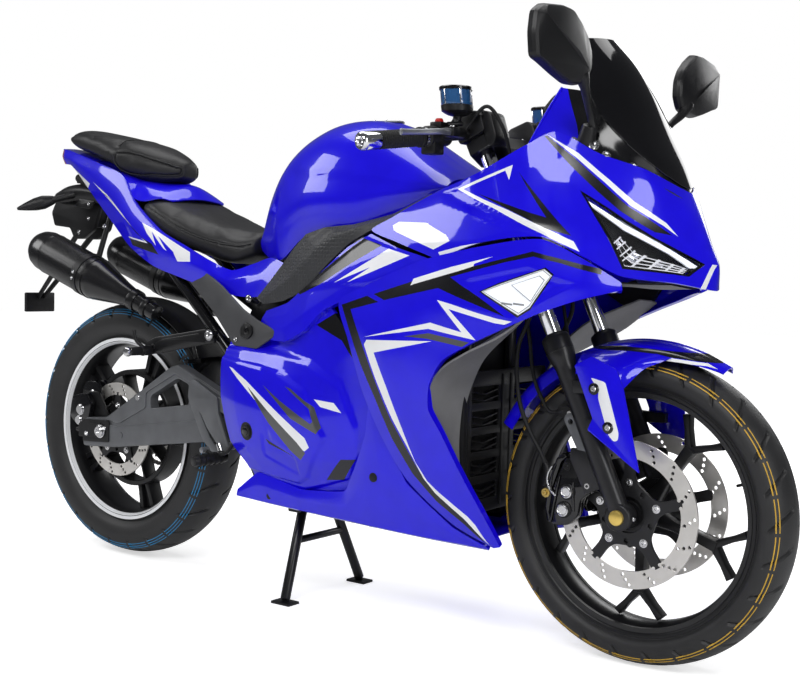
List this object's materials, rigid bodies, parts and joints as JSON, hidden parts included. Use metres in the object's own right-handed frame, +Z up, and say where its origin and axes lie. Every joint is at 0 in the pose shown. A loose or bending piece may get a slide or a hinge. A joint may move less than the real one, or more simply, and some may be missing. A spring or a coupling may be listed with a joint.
{
  "type": "electric motorcycle",
  "caption": "Electric sport motorcycle with full bodywork, a stepped dual seat, low handlebars, disc brakes and a centre stand.",
  "frame": {"origin": "on the floor, under the middle of the overall length and width", "axes": "+X forward, +Y to the rider's left, +Z up"},
  "size_m": [2.103, 0.772, 1.19],
  "materials": {
    "blue_paint": "clear gloss, saturated royal blue",
    "black_plastic": "satin grain",
    "grey_plastic": "fine grain",
    "battery_case": "black satin",
    "black_steel": "satin black",
    "black_wheel": "satin black",
    "black_alloy": "satin black",
    "black_fork": "satin black",
    "black_controls": "matt",
    "black_silencer": "black weave under clear gloss",
    "black_hose": "satin",
    "grey_alloy": "satin grey paint",
    "disc_steel": "ground",
    "bright_steel": "turned",
    "fork_chrome": "hard chrome",
    "tyre_rubber": "matt",
    "seat_vinyl": "satin vinyl",
    "smoked_screen": "dark smoke, gloss",
    "lamp_glass": "clear",
    "red_lens": "clear red"
  },
  "bodies": {
    "chassis": {"drive_chain": "black_steel", "battery_block": "battery_case", "swingarm": "grey_alloy", "rear_axle": "bright_steel", "rear_caliper": "black_alloy", "side_fairing_right": "blue_paint", "side_fairing_left": "blue_paint", "headlamp_right": "lamp_glass", "headlamp_left": "lamp_glass", "position_lamp_right": "lamp_glass", "position_lamp_left": "lamp_glass", "frame_cover_right": "grey_plastic", "frame_cover_left": "grey_plastic", "mid_panel_right": "blue_paint", "mid_panel_left": "blue_paint", "side_cover_right": "blue_paint", "side_cover_left": "blue_paint", "upper_cowl": "blue_paint", "tail_cowl": "blue_paint", "belly_pan": "blue_paint", "radiator_shroud": "grey_plastic", "tank": "blue_paint", "rider_seat": "seat_vinyl", "pillion_seat": "seat_vinyl", "windscreen": "smoked_screen", "screen_base": "black_plastic", "mirror_right": "black_plastic", "mirror_left": "black_plastic", "instrument_panel": "black_plastic", "tail_light": "red_lens", "undertail": "black_plastic", "silencer_right": "black_silencer", "silencer_left": "black_silencer", "rear_mudguard": "grey_plastic", "footrest_right": "grey_alloy", "footrest_left": "grey_alloy", "main_frame": "black_steel"},
    "steering": {"lower_clamp": "black_alloy", "upper_clamp": "black_alloy", "front_axle": "bright_steel", "fork_slider_right": "black_fork", "fork_slider_left": "black_fork", "fork_tube_right": "fork_chrome", "fork_tube_left": "fork_chrome", "handlebar_right": "black_controls", "handlebar_left": "black_controls", "front_caliper_right": "black_alloy", "front_caliper_left": "black_alloy", "front_mudguard": "blue_paint", "brake_hose_right": "black_hose", "brake_hose_left": "black_hose"},
    "front_wheel": {"front_tyre": "tyre_rubber", "front_rim": "black_wheel", "front_disc_right": "disc_steel", "front_disc_left": "disc_steel"},
    "rear_wheel": {"rear_tyre": "tyre_rubber", "rear_rim": "black_wheel", "rear_disc": "disc_steel", "rear_sprocket": "black_steel"},
    "centre_stand": {"centre_stand": "black_steel"}
  },
  "joints": [
    {"name": "steering", "type": "hinge", "parent": "chassis", "child": "steering", "pos_m": [0.72584, 0, 0.27784], "axis": [-0.421, 0, 0.907], "range_deg": [-30, 30]},
    {"name": "front_wheel_spin", "type": "hinge", "parent": "steering", "child": "front_wheel", "pos_m": [0.7585, 0, 0.293], "axis": [0, 1, 0], "continuous": true},
    {"name": "rear_wheel_spin", "type": "hinge", "parent": "chassis", "child": "rear_wheel", "pos_m": [-0.6415, 0, 0.322], "axis": [0, 1, 0], "continuous": true},
    {"name": "centre_stand_swing", "type": "hinge", "parent": "chassis", "child": "centre_stand", "pos_m": [-0.0465, 0, 0.205], "axis": [0, 1, 0], "range_deg": [0, 78]}
  ]
}
